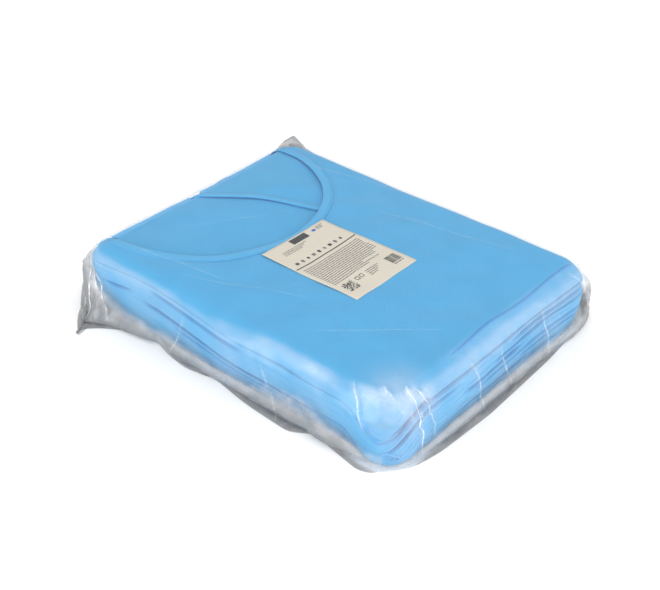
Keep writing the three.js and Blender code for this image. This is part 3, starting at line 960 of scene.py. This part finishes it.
def add_label():
    length, width = LABEL_HIGH[0] - LABEL_LOW[0], LABEL_HIGH[1] - LABEL_LOW[1]
    steps_x, steps_y = 40, 30
    points = [(LABEL_LOW[0] + length * a / steps_x, LABEL_LOW[1] + width * b / steps_y, 0.0)
              for a in range(steps_x + 1) for b in range(steps_y + 1)]
    row = steps_y + 1
    faces = [(a * row + b, (a + 1) * row + b, (a + 1) * row + b + 1, a * row + b + 1)
             for a in range(steps_x) for b in range(steps_y)]
    piece = add_mesh("label_sheet", on_label(points), faces, PAPER)
    thicken(piece, LABEL_THICKNESS, -1.0)
    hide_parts("paper_label")
    prints = add_label_print()


class Print:
    """Flat printed marks that follow the label, collected into one mesh."""

    def __init__(self, name, material):
        self.name, self.material = name, material
        self.points, self.faces = [], []

    def add(self, corners):
        """One mark, with its corners in millimetres from the label's middle."""
        first = len(self.points)
        self.points += [(LABEL_MIDDLE[0] + x, LABEL_MIDDLE[1] + y, PRINT_LIFT) for x, y in corners]
        self.faces.append(tuple(range(first, len(self.points))))

    def bar(self, x0, x1, y0, y1):
        """A rectangle, in parts of about 6 mm so that it bends with the label."""
        parts = max(1, int(abs(y1 - y0) / 6), int(abs(x1 - x0) / 6))
        for k in range(parts):
            if abs(y1 - y0) > abs(x1 - x0):
                a, b = x0, x1
                c, d = (y0 + (y1 - y0) * part / parts for part in (k, k + 1))
            else:
                a, b = (x0 + (x1 - x0) * part / parts for part in (k, k + 1))
                c, d = y0, y1
            self.add([(a, c), (b, c), (b, d), (a, d)])

    def oval(self, x, y, half_x, half_y, steps=20):
        """An oval, or a diamond when it has four steps."""
        angles = [2 * math.pi * k / steps for k in range(steps)]
        self.add([(x + half_x * math.cos(a), y + half_y * math.sin(a)) for a in angles])

    def make(self):
        points = on_label(self.points)
        return add_mesh(self.name, points, self.faces, self.material, False)


SHORTEST_WORD, WORD_GAP = 0.8, 0.55
CODE_CELL = 0.82  # of the square code


def greeked_line(ink, rng, x, height, y0, y1):
    """A line of make-believe words: dashes of random lengths with gaps, and no letters."""
    y = y0
    while y < y1 - SHORTEST_WORD:
        word = min(float(rng.uniform(1.2, 4.6)), y1 - y)
        ink.bar(x, x + height, y, y + word)
        y += word + WORD_GAP


def add_label_print():
    """A dark block, rows of marks and dashes, a square code and a bar code that say nothing."""
    rng = np.random.default_rng(7)
    black, grey = Print("label_black_print", BLACK_INK), Print("label_grey_print", GREY_INK)
    blue = Print("label_blue_print", BLUE_INK)
    black.bar(-48.0, -41.0, -8.0, 11.0)
    blue.oval(-44.5, 19.5, 1.5, 2.3)
    for row in range(3):
        greeked_line(grey, rng, -47.0 + 1.6 * row, 0.7, 23.5, 23.5 + 8.5 - 1.2 * row)
    for row in range(3):
        greeked_line(grey, rng, -38.6 + 2.1 * row, 0.7, -26.0, 2.0 - 4.0 * row)
    for k in range(9):
        y = -28.0 + 6.6 * k
        ink = (black, grey)[k % 2]
        if k % 3 == 0:
            ink.bar(-21.4, -18.2, y - 1.6, y + 1.6)
        else:
            ink.oval(-19.8, y, 2.1, 1.4, steps=20 if k % 3 == 1 else 4)
    black.bar(-14.0, -12.9, -36.2, 36.2)
    for row in range(14):
        end = 33.0 - (0.0 if row < 9 else float(rng.uniform(2, 26)))
        greeked_line(grey, rng, -9.0 + 2.45 * row, 0.85, -33.0, end)
    for a in range(15):
        for b in range(15):
            if rng.random() < 0.52:
                x, y = 27.5 + a * CODE_CELL, -31.5 + b * CODE_CELL
                black.bar(x, x + CODE_CELL * 0.96, y, y + CODE_CELL * 0.96)
    for y in (-15.5, -10.5):
        for x0, x1, low, high in ((28.5, 29.0, 0, 3.6), (32.2, 32.7, 0, 3.6),
                                  (28.5, 32.7, 0, 0.5), (28.5, 32.7, 3.1, 3.6)):
            black.bar(x0, x1, y + low, y + high)
    for row in range(4):
        greeked_line(grey, rng, 29.0 + 2.2 * row, 0.8, -3.0, 13.0 - 2.5 * row)
    y = 21.5
    while y < 32.5:
        bar = float(rng.choice([0.3, 0.55, 0.8]))
        black.bar(28.5, 38.5, y, y + bar)
        y += bar + float(rng.choice([0.3, 0.45, 0.7]))
    greeked_line(grey, rng, 39.8, 1.0, 21.5, 32.5)
    return [ink.make() for ink in (black, grey, blue)]


# ---- The bag ----

SKIRT = 12.0
# The bag's four corners: how far each slants along X and reaches along Y, its height share, and how
# sharply its slant gathers at the tip
EARS = [(-18.0, 36.0, 0.0, 4.0), (-15.0, 24.0, 0.74, 1.3), (30.0, -36.0, 0.0, 4.0),
        (-10.0, -6.0, 0.0, 4.0)]
EAR_SPREAD, EAR_POINT, EAR_DRAPE = 75.0, 1.6, 2.3  # along the edge, to the tip and up the film
# How far the film's edge spreads on the floor, as places along a side and distances there
FRONT_SKIRT = [(-150, 9), (-112, 3), (-78, 0), (-58, 6), (-37, 9), (-8, 4), (25, 10), (45, 12),
               (76, 14), (94, 3), (112, 7), (140, 10), (165, 6)]
END_SKIRT = [(-127, 3), (-108, 8), (-83, 11), (-28, 13), (18, 11), (58, 9), (98, 4), (127, 6)]
OTHER_SKIRT = 9.0
FILM_GAP = 1.6  # from the stack to the film before it settles
SIDE_SLACK = 1.6
FILM_FOOT = 4.0  # the height where the film's side starts
SIDE_RINGS = 10
TOP_RINGS = 6

skirt_waves = waves(41, 70)
pleat_waves = waves(42, 34)


def ear_pull(height_share):
    """How each corner's ear pulls the film out at a height share: slant along X, reach along Y."""
    base = outline(SKIRT)[0]
    shift = np.zeros((RING_SIZE, 2))
    steps = np.linalg.norm(np.roll(base, -1, axis=0) - base, axis=1)
    run = np.concatenate([[0], np.cumsum(steps)[:-1]])
    starts = [0, ALONG_X, ALONG_X + ALONG_Y, 2 * ALONG_X + ALONG_Y]
    for (slant, reach, height, hook), start in zip(EARS, starts):
        along = np.abs(run - run[start + ARC_STEPS // 2])
        along = np.minimum(along, steps.sum() - along)
        near = np.maximum(0, 1 - along / EAR_SPREAD)
        away = abs(height_share - height) / max(height, 1 - height)
        pull = max(0.0, 1 - away) ** EAR_DRAPE
        shift[:, 0] += slant * pull * near ** hook
        shift[:, 1] += reach * pull * near ** EAR_POINT
    return shift


def skirt_outset():
    """How far the film's edge spreads on the floor round the outline."""
    base, normals = outline(0.0)
    x, y = base.T
    belongs = sides(*normals.T)
    other = OTHER_SKIRT + 3.0 * skirt_waves(x, y)
    rest = np.maximum(0, 1 - belongs["front"] - belongs["end"])
    raw = np.interp(x, *zip(*FRONT_SKIRT)) * belongs["front"]
    raw = raw + np.interp(y, *zip(*END_SKIRT)) * belongs["end"] + other * rest
    padded = np.concatenate([raw[-1:], raw, raw[:1]])
    return np.convolve(padded, np.array([1, 3, 1]) / 5.0, mode="valid")


def film_rings():
    """Rings of the upper film from the floor's edge up the sides and over the shoulder."""
    rings = []
    roll = SHOULDER + FILM_GAP
    spread = skirt_outset()
    base, normals = outline(0.0)
    for share in (1.0, 0.72, 0.42, 0.15):
        outset = spread * share + 2.5 * (1 - share)
        pull = ear_pull(0.05 * (1 - share)) * (0.35 + 0.65 * share)
        rings.append(at_height(base + normals * outset[:, None] + pull,
                               0.5 + 2.2 * (1 - share) ** 2))
    high_z = STACK_TOP - SHOULDER
    for step in range(SIDE_RINGS + 1):
        share = step / SIDE_RINGS
        z = FILM_FOOT + (high_z - FILM_FOOT) * share
        belly = math.sin(math.pi * z / STACK_TOP)
        outset = FILM_GAP + SIDE_SLACK + BELLY * belly + 1.5 * (1 - share)
        pleat = 1.3 * pleat_waves(base[:, 0] + 0.4 * z, base[:, 1])
        pleat = pleat * (0.3 + 0.7 * math.sin(math.pi * share))
        rings.append(at_height(base + normals * (outset + pleat)[:, None]
                               + ear_pull(z / STACK_TOP), z))
    base, normals = outline(-SHOULDER)
    top_z = STACK_TOP + FILM_GAP
    for step in range(1, TOP_RINGS):
        angle = step / TOP_RINGS * math.pi / 2
        outward = (roll + 1.2 * (1 - step / TOP_RINGS)) * math.cos(angle)
        z = high_z + roll * math.sin(angle)
        rings.append(at_height(base + normals * outward + ear_pull(z / (top_z + 12)), z))
    shares = (0.0, 0.12, 0.24, 0.36, 0.49, 0.62, 0.75, 0.88, 1.0)
    return rings + [at_height(ring, top_z) for ring in inward_rings(base, shares)]


def film_start():
    """Points and faces of the upper film before it settles."""
    points, faces = lofted_sheet(film_rings())
    half = np.array([HALF_X, HALF_Y])
    top = smooth(points[:, 2], STACK_TOP - SHOULDER, STACK_TOP)
    below = settle(at_height(np.clip(points[:, :2], -half, half), STACK_TOP))
    points[:, 2] += top * (below[:, 2] - STACK_TOP)
    return points, faces


HULL_SIDES = [(0.0, -3.0), (3.0, -0.6), (10.0, 0.3), (20.0, 0.6), (30.0, 0.8), (40.0, 0.6),
              (HEM_Z, 0.4)]  # heights and outsets


def stack_hull():
    """A closed stand-in for the settled stack's outside, for the film to rest on."""
    rings = [at_height(outline(outset)[0], z) for z, outset in HULL_SIDES]
    base, normals = outline(-SHOULDER)
    for step in range(1, TOP_RINGS + 1):
        angle = step / TOP_RINGS * math.pi / 2
        outward = SHOULDER * math.cos(angle)
        z = STACK_TOP - SHOULDER + SHOULDER * math.sin(angle)
        rings.append(at_height(base + normals * outward, z))
    rings += [at_height(ring, STACK_TOP) for ring in inward_rings(base, (0.5, 1.0))]
    points, faces = lofted_sheet(rings)
    return settle(points), faces + [list(range(RING_SIZE))[::-1]]


def nearest_on_stack(points):
    """The nearest point of the stack's stand-in to each point, and how far off it is."""
    hull, faces = stack_hull()
    tree = BVHTree.FromPolygons([tuple(p) for p in hull], [list(map(int, f)) for f in faces])
    near = [tree.find_nearest(Vector(p)) for p in points]
    return np.array([hit[0] for hit in near]), np.array([hit[3] for hit in near])


def square(half):
    return [(-half, -half, 0.0), (half, -half, 0.0), (half, half, 0.0), (-half, half, 0.0)]


SIM_SCALE = 10.0  # the film is simulated at this size, where cloth behaves better
SIM_FRAMES = 22
EXTRA_FILM = 0.03  # how much the film grows, so that it has slack to crumple
SIM_FLOOR = 400.0
CLOTH_SETTINGS = {
    "quality": 6, "mass": 0.12, "air_damping": 3.0, "tension_stiffness": 25,
    "compression_stiffness": 25, "shear_stiffness": 12, "bending_stiffness": 1.2,
    "bending_damping": 2.0, "vertex_group_mass": "held", "shrink_min": -EXTRA_FILM,
    "shrink_max": -EXTRA_FILM,
}


def scratch_object(name, points, faces):
    return new_object(name, new_mesh(name, points * MM * SIM_SCALE, faces))


def collider(name, points, faces):
    made = scratch_object(name, points, faces)
    made.modifiers.new("collision", "COLLISION")
    made.collision.thickness_outer = 0.004
    made.collision.cloth_friction = 12
    return made


def settle_film(points, faces):
    """Lets the film fall and crumple over the stack by cloth simulation, held at its edge."""
    scene = bpy.context.scene
    hull = collider("film_collider", *stack_hull())
    ground = collider("floor_collider", np.array(square(SIM_FLOOR)), [(0, 1, 2, 3)])
    film = scratch_object("film_scratch", points, faces)
    film.vertex_groups.new(name="held").add(list(range(RING_SIZE)), 1.0, "REPLACE")
    modifier = film.modifiers.new("cloth", "CLOTH")
    for name, value in CLOTH_SETTINGS.items():
        setattr(modifier.settings, name, value)
    modifier.collision_settings.distance_min = 0.003
    modifier.collision_settings.collision_quality = 3
    modifier.point_cache.frame_start = 1
    modifier.point_cache.frame_end = SIM_FRAMES
    for number in range(1, SIM_FRAMES + 1):
        scene.frame_set(number)
    done = film.evaluated_get(bpy.context.evaluated_depsgraph_get()).to_mesh()
    settled = mesh_points(done) / SIM_SCALE
    scene.frame_set(1)
    for made in (film, ground, hull):
        mesh = made.data
        bpy.data.objects.remove(made)
        bpy.data.meshes.remove(mesh)
    return settled


MOST_MOVE = 9.0  # how far the simulation may move a point
CLING = 0.42  # how much of its stand-off the film keeps where it clings to the stack
LEAST_GAP = 0.6  # from the stack to the clinging film
FILM_LOWEST = 0.45


def standing_off(points):
    """0 where the film clings to the stack and 1 where it stands well off it."""
    return smooth(nearest_on_stack(points)[1], 2.6, 8.5)


def cling(points):
    """Draws the film in towards the stack it covers, except near the floor and at the ears."""
    feet, gaps = nearest_on_stack(points)
    x, y, z = points.T
    corner = smooth(np.abs(x), 105, 140) * smooth(np.abs(y), 85, 110)
    corner *= 1 - smooth(x, 60, 120) * smooth(-y, 60, 100)
    free = np.maximum(smooth(gaps, 9, 20), corner * smooth(gaps, 3, 7))
    free = np.maximum(1 - smooth(z, 5, 18), free)
    kept = CLING + (1 - CLING) * free
    kept = np.maximum(kept, np.minimum(1, LEAST_GAP / np.maximum(gaps, 0.01)))
    return feet + (points - feet) * kept[:, None]


# Sharp folds in the film, as the two ends of each, its width and its height
FILM_FOLDS = [
    ((152, -101, 63), (176, -103, 10), 1.3, 2.4),
    ((160, -97, 62), (171, -86, 11), 1.0, 1.7),
    ((166, -40, 52), (178, -28, 2), 1.0, 0.9),
    ((167, -4, 46), (176, 8, 2), 0.9, 0.8),
    ((168, 52, 50), (176, 60, 4), 1.0, 0.9),
    ((140, -112, 62), (158, -118, 58), 1.6, 0.9),
    ((118, -118, 60), (139, -131, 30), 1.4, 0.9),
    ((-160, -112, 58), (-140, -150, 8), 1.2, 1.6),
    ((-150, -118, 46), (-124, -140, 6), 1.1, 1.3),
    ((-166, -100, 52), (-150, -146, 4), 1.2, 1.2),
    ((150, 118, 58), (155, 150, 6), 1.3, 1.4),
    ((158, 100, 56), (170, 128, 6), 1.1, 1.0),
    ((40, -131, 40), (62, -140, 3), 1.0, 0.7),
    ((-40, -131, 44), (-58, -133, 3), 1.0, 0.7),
    ((-138, -104, 62), (-36, -88, 62), 1.0, 0.22), ((-70, -106, 62), (34, -64, 62), 0.9, 0.18),
    ((-20, 70, 62), (120, 96, 62), 1.0, 0.18), ((-128, 90, 62), (-30, 112, 62), 0.9, 0.20),
    ((60, -96, 62), (132, -30, 62), 0.9, 0.16), ((-120, -60, 62), (-66, 24, 62), 0.8, 0.16),
]
CREASE_HALF = 0.45  # half the width of a strip of doubled film, for a fold 1 mm wide
CREASE_STEPS = 40
BIG_FOLD = 1.65  # folds higher than this widen towards their upper ends

fold_waves = waves(51, 30)


def fold_sway(start, t):
    """How far a fold wanders sideways from its straight line."""
    return 0.9 * fold_waves(t * 60 + start[0], start[1]) * np.sin(math.pi * t)


def raise_folds(piece):
    """Pinches sharp folds into the fine film, along lines from its shoulder to the floor.

    Gives back how much of a fold each point lies on, from 0 to 1.
    """
    mesh = piece.data
    folded = np.zeros(len(mesh.vertices))
    points = mesh_points(mesh)
    normals = np.array([v.normal for v in mesh.vertices])
    for start, end, width, height in FILM_FOLDS:
        a, b = np.array(start, float), np.array(end, float)
        line = b - a
        t = np.clip(((points - a) @ line) / (line @ line), 0, 1)
        foot = a + t[:, None] * line
        foot[:, 1] += fold_sway(a, t)
        away = points - foot
        away -= (away * normals).sum(1, keepdims=True) * normals
        distance = np.linalg.norm(away, axis=1)
        close = np.linalg.norm(points - foot, axis=1) < 14
        ridge = np.exp(-(distance / width) ** 2)
        ridge = ridge - 0.35 * np.exp(-((distance - 2.2 * width) / width) ** 2)
        fade = np.sin(math.pi * np.clip(0.12 + 0.8 * t, 0, 1)) ** 0.5 * close
        points += normals * (height * ridge * fade)[:, None]
        share = np.exp(-(distance / (0.7 * width)) ** 2) * fade * min(1.0, height / 1.4)
        folded = np.maximum(folded, share)
    mesh.vertices.foreach_set("co", (points * MM).ravel())
    mesh.update()
    return folded


def add_creases(film):
    """Doubled film along the folds: narrow tented strips that follow the film's surface."""
    mesh = film.data
    tree = BVHTree.FromPolygons([v.co / MM for v in mesh.vertices],
                                [tuple(f.vertices) for f in mesh.polygons])
    wander = waves(52, 26)
    points, faces, painted_glint_haze = [], [], []
    for start, end, width, height in FILM_FOLDS:
        a, b = np.array(start, float), np.array(end, float)
        faces += strip_faces(CREASE_STEPS + 1, 3, first=len(points))
        for k in range(CREASE_STEPS + 1):
            t = k / CREASE_STEPS
            aside = np.array([0, float(fold_sway(a, t)), 0])
            found = [tree.find_nearest(Vector(a + (b - a) * min(max(t + step / 90, 0), 1) + aside))
                     for step in range(-5, 6)]
            hit = sum((one[0] for one in found), Vector()) / len(found)
            normal = sum((one[1] for one in found), Vector()).normalized()
            side = normal.cross(Vector(b - a)).normalized()
            taper = 0.25 + 0.75 * math.sin(math.pi * t) ** 0.5
            half = CREASE_HALF * width * taper * (1 + 0.4 * float(wander(t * 160, a[0])))
            if height > BIG_FOLD:
                half *= 0.7 + 1.6 * max(0.0, 1 - t / 0.3)
            for across, rise in ((-half, 0.05), (0.0, 0.15 + 0.28 * height * taper), (half, 0.05)):
                points.append(hit + side * across + normal * rise)
            # painted glint: higher folds get whiter, denser haze
            painted_light_haze = min(0.95, 0.42 * height) * taper * (1 + 0.35 * float(wander(t * 220, a[1])))
            painted_glint_haze += [float(np.clip(painted_light_haze, 0.05, 0.98))] * 3
    piece = add_mesh("bag_film_creases", points, faces, FILM)
    set_values(piece, "haze_and_painted_light", painted_glint_haze)
    return piece


streak_waves = waves(61, 34, 14)


# where the painted highlights at the front corner sit
CORNER_GLOW_AT, CORNER_GLOW_SIZE = (156, -106), 24.0
HIGHLIGHT_PATCH_AT, HIGHLIGHT_PATCH_SIZE = (149, -103), 13.0
CLEAREST, MILKIEST = 0.015, 0.95


def paint_light_into_film_haze(piece, folded):
    """Sets how hazy and how grey the film looks, as painted light: white painted highlights on the
    flanks and folds, and grey painted shade where it stands off the stack.
    """
    mesh = piece.data
    up = np.array([abs(v.normal.z) for v in mesh.vertices])
    off = np.empty(len(up), np.float32)
    mesh.attributes["standing_off"].data.foreach_get("value", off)
    x, y, z = mesh_points(mesh).T
    flank = 1 - smooth(up, 0.5, 0.97)
    # Painted highlights whiten the haze on the flanks, along the front shoulder in streaks, round
    # the front corner, on a patch at its top and over the turned-up hem.
    shoulder = smooth(z, 44, 56) * smooth(flank, 0.05, 0.5)
    corner = around(x, y, CORNER_GLOW_AT, CORNER_GLOW_SIZE) * smooth(z, 15, 45)
    highlight_patch = around(x, y, HIGHLIGHT_PATCH_AT, HIGHLIGHT_PATCH_SIZE) * smooth(z, 20, 50)
    hem = smooth(x, 150, 155) * smooth(y, -75, -40) * (1 - smooth(y, 112, 126)) * smooth(z, 35, 50)
    streaks = 0.5 + 0.5 * streak_waves(x + 0.9 * y + 0.5 * z, 0.35 * z)
    shoulder_highlight = 0.13 + 0.13 * smooth(x, -60, 70) * smooth(-y, 70, 110) * streaks
    haze_and_painted_light = CLEAREST + (0.07 + 0.05 * streaks) * flank + shoulder_highlight * shoulder + 0.10 * hem
    haze_and_painted_light = haze_and_painted_light + 0.10 * corner * smooth(flank, 0.02, 0.3) + 0.24 * highlight_patch
    # Painted shade: where the film stands off the stack its haze turns grey and close to opaque.
    # Folds get a white painted glint.
    haze_and_painted_light = np.maximum(haze_and_painted_light, MILKIEST * off * (1 - 0.6 * corner))
    haze_and_painted_light = np.maximum(haze_and_painted_light, haze_and_painted_light + (MILKIEST - haze_and_painted_light) * folded)
    set_values(piece, "haze_and_painted_light", haze_and_painted_light)
    set_values(piece, "painted_grey_shade", off * (1 - folded))


def bake_modifiers(piece):
    """Turns the piece's mesh into what its modifiers make of it."""
    made = piece.evaluated_get(bpy.context.evaluated_depsgraph_get())
    fine = bpy.data.meshes.new_from_object(made)
    piece.modifiers.clear()
    piece.data = fine


def upper_film():
    """The upper film, draped over the stack. Gives back the line of its edge on the floor."""
    start, faces = film_start()
    points = start
    moved = settle_film(start, faces) - start
    size = np.maximum(np.linalg.norm(moved, axis=1, keepdims=True), 1e-6)
    points = start + moved * np.minimum(1, MOST_MOVE / size)
    points = cling(points)
    points[:, 2] = np.maximum(points[:, 2], FILM_LOWEST)
    piece = add_mesh("bag_upper_sheet", points, faces, FILM)
    set_values(piece, "standing_off", standing_off(points))
    subdivide(piece)
    bake_modifiers(piece)
    paint_light_into_film_haze(piece, 0.35 * raise_folds(piece))
    creases = add_creases(piece)
    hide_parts("bag_upper_film")
    return points[:RING_SIZE, :2]


def lower_film(edge):
    """The lower film, flat on the floor and sealed to the upper one along its edge."""
    middle = outline(-16.0)[0]
    plan, faces = plan_sheet([edge, edge + (middle - edge) * 0.5, middle, inner_rectangle()])
    piece = add_mesh("bag_lower_sheet", at_height(plan, 0.2), faces, FILM)
    # painted shade: the whole lower sheet gets a grey haze
    for value in ("haze_and_painted_light", "painted_grey_shade"):
        set_values(piece, value, np.full(len(plan), 0.35))
    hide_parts("bag_lower_film")


# ---- Floor, light and camera ----

TARGET = Vector((0.0395, -0.0505, 0.0598))
AZIMUTH, ELEVATION = math.radians(40.71), math.radians(34.25)
DISTANCE = 1.0606
LENS = 74.945


def add_floor():
    floor = new_object("floor", new_mesh("floor", square(3.0), [(0, 1, 2, 3)]))
    material, tree = new_material("studio floor")[:2]
    shader = node(tree, "BsdfPrincipled", Base_Color=(0.96, 0.96, 0.96, 1), Roughness=0.9,
                  Specular_IOR_Level=0.0)
    node(tree, "OutputMaterial", Surface=shader)
    floor.data.materials.append(material)


def add_area_light(name, place, size, power):
    light = bpy.data.lights.new(name, "AREA")
    light.shape = "DISK"
    light.size = size
    light.energy = power
    lamp = new_object(name, light)
    lamp.location = place
    toward = Vector((0, 0, 0.03)) - Vector(place)
    lamp.rotation_euler = toward.to_track_quat("-Z", "Y").to_euler()


def add_light():
    world = bpy.data.worlds.new("studio")
    world.use_nodes = True
    background = world.node_tree.nodes["Background"]
    background.inputs["Color"].default_value = (1, 1, 1, 1)
    background.inputs["Strength"].default_value = 0.98
    bpy.context.scene.world = world
    add_area_light("key", (0.35, 0.55, 1.5), 0.8, 2.0)
    add_area_light("front corner", (1.1, -0.9, 0.75), 0.2, 3.0)
    add_area_light("front", (-0.35, -1.5, 0.5), 0.9, 9.5)
    add_area_light("right", (1.6, 0.1, 0.45), 0.9, 9.0)


def add_camera():
    flat = math.cos(ELEVATION)
    back = Vector((flat * math.sin(AZIMUTH), -flat * math.cos(AZIMUTH), math.sin(ELEVATION)))
    right = Vector((math.cos(AZIMUTH), math.sin(AZIMUTH), 0))
    data = bpy.data.cameras.new("camera")
    data.lens = LENS
    data.sensor_width = 36.0
    camera = new_object("camera", data)
    rotation = Matrix((right, back.cross(right), back)).transposed().to_4x4()
    camera.matrix_world = Matrix.Translation(TARGET + back * DISTANCE) @ rotation
    bpy.context.scene.camera = camera


# ---- Assembly ----

add_camera()
add_light()
add_floor()
lower_film(upper_film())
for coat in range(COAT_COUNT, 1, -1):
    coat_body(coat)
for coat in range(COAT_COUNT, 0, -1):
    for part, cloth, slot in (("left_sleeve", CLOTH, "cloth"), ("right_sleeve", CLOTH, "cloth"),
                              ("waist_tie", TIE, "tie")):
        soft_slab(f"coat_{coat:02d}_{part}_cloth", f"coat_{coat:02d}_{part}", cloth)
for end in ("left", "right"):
    soft_slab(f"coat_01_{end}_cuff_knit", f"coat_01_{end}_cuff", CUFF, ribs=24)
    soft_slab(f"coat_01_{end}_neck_tie_cloth", f"coat_01_{end}_neck_tie", TIE)
top_coat()
add_label()
bpy.context.scene.view_settings.view_transform = "Standard"
